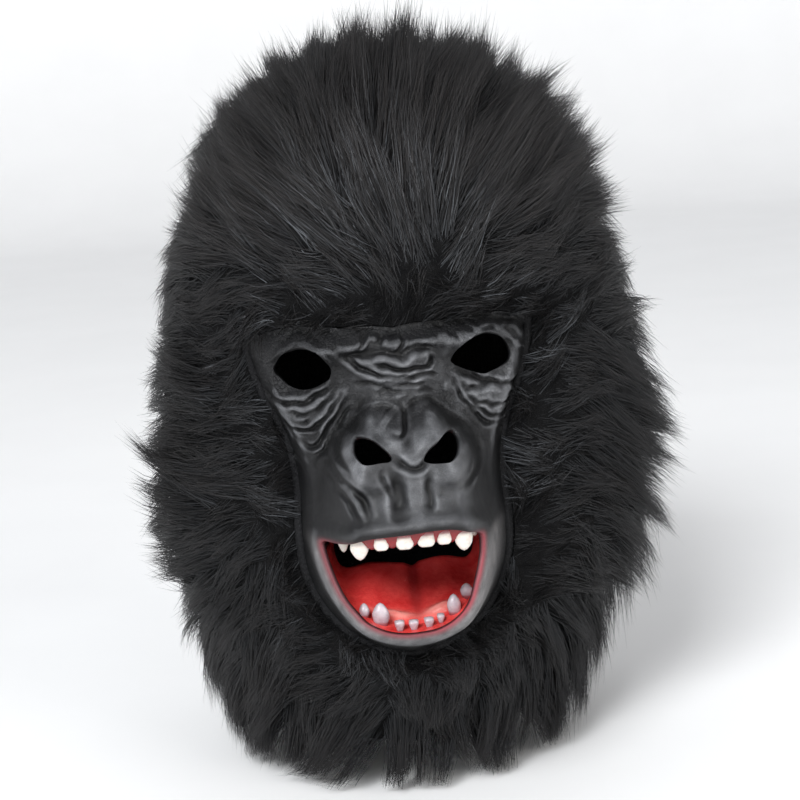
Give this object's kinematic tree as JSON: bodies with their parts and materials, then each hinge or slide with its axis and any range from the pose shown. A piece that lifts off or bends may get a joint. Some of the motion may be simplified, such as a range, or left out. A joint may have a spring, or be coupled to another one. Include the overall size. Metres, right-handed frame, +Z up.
{
  "type": "gorilla mask",
  "caption": "Full-head gorilla mask with a moulded black latex face, an open red mouth with painted teeth and a hood of long black fur.",
  "frame": {"origin": "inside of the crown of the hood, where the mask rests on a head", "axes": "+Z up, -Y the way the face looks, +X the viewer's right from the front"},
  "size_m": [0.2557, 0.2875, 0.3343],
  "materials": {
    "fur": "long glossy pile",
    "knit": "matt",
    "latex": "satin, dry-brushed in grey",
    "mouth": "gloss",
    "teeth": "gloss"
  },
  "bodies": {
    "root": {"hood": "knit", "fur": "fur", "face": "latex", "upper_gum": "mouth", "mouth_floor": "mouth", "upper_tooth_1": "teeth", "upper_tooth_2": "teeth", "upper_tooth_3": "teeth", "upper_tooth_4": "teeth", "upper_tooth_5": "teeth", "upper_tooth_6": "teeth", "upper_tooth_7": "teeth", "upper_tooth_8": "teeth", "lower_tooth_1": "teeth", "lower_tooth_2": "teeth", "lower_tooth_3": "teeth", "lower_tooth_4": "teeth", "lower_tooth_5": "teeth", "lower_tooth_6": "teeth", "lower_tooth_7": "teeth", "lower_tooth_8": "teeth"}
  },
  "joints": []
}
